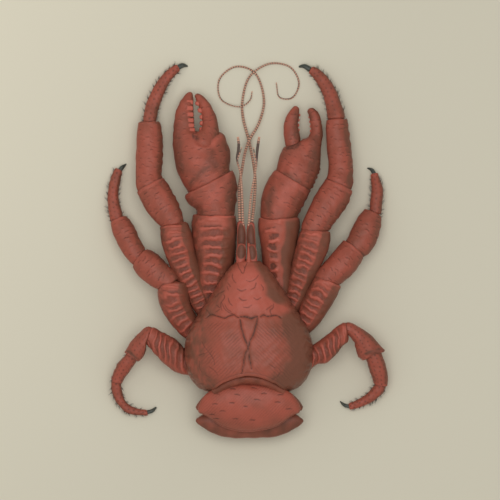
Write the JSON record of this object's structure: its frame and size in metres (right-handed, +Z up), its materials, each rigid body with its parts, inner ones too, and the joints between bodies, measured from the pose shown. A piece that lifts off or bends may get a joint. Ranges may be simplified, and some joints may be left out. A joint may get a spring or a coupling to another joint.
{
  "type": "cooked coconut crab",
  "caption": "Whole cooked coconut crab, brick red, lying on its belly with its claws, legs and long curled feelers stretched forward and its tail plates behind.",
  "frame": {"origin": "middle of the base of the whole crab's box, on the surface it lies on", "axes": "+Y towards the claws and feelers, along the body; +Z up; +X to the crab's right"},
  "size_m": [0.3362, 0.4506, 0.0835],
  "materials": {
    "shell": "hard cooked shell, brick red, half gloss",
    "shell_dark": "hard cooked shell, brown red, half gloss",
    "belly": "leathery underside, pale red, matt",
    "nail": "horny black-green claw tips",
    "feeler": "tan feelers with dark rings"
  },
  "bodies": {
    "root": {"claw_left_merus": "shell", "claw_left_carpus": "shell", "claw_left_palm": "shell", "claw_left_finger": "shell", "claw_right_merus": "shell", "claw_right_carpus": "shell", "claw_right_palm": "shell", "claw_right_finger": "shell", "leg_1_left_merus": "shell", "leg_1_left_carpus": "shell", "leg_1_left_propodus": "shell", "leg_1_left_dactyl": "shell", "leg_1_left_nail": "nail", "leg_1_right_merus": "shell", "leg_1_right_carpus": "shell", "leg_1_right_propodus": "shell", "leg_1_right_dactyl": "shell", "leg_1_right_nail": "nail", "leg_2_left_merus": "shell", "leg_2_left_carpus": "shell", "leg_2_left_propodus": "shell", "leg_2_left_dactyl": "shell", "leg_2_left_nail": "nail", "leg_2_right_merus": "shell", "leg_2_right_carpus": "shell", "leg_2_right_propodus": "shell", "leg_2_right_dactyl": "shell", "leg_2_right_nail": "nail", "leg_3_left_merus": "shell", "leg_3_left_carpus": "shell", "leg_3_left_propodus": "shell", "leg_3_left_dactyl": "shell", "leg_3_left_nail": "nail", "leg_3_right_merus": "shell", "leg_3_right_carpus": "shell", "leg_3_right_propodus": "shell", "leg_3_right_dactyl": "shell", "leg_3_right_nail": "nail", "eyestalk_left": "shell_dark", "feeler_base_left": "shell_dark", "jaw_foot_left": "shell", "feeler_left": "feeler", "small_feeler_left": "feeler", "eyestalk_right": "shell_dark", "feeler_base_right": "shell_dark", "jaw_foot_right": "shell", "feeler_right": "feeler", "small_feeler_right": "feeler", "shield": "shell", "tail_plate_1": "shell_dark", "tail_plate_2": "shell_dark", "tail_plate_3": "shell", "tail_plate_4": "shell_dark", "tail_sac": "belly", "trunk": "belly"}
  },
  "joints": []
}
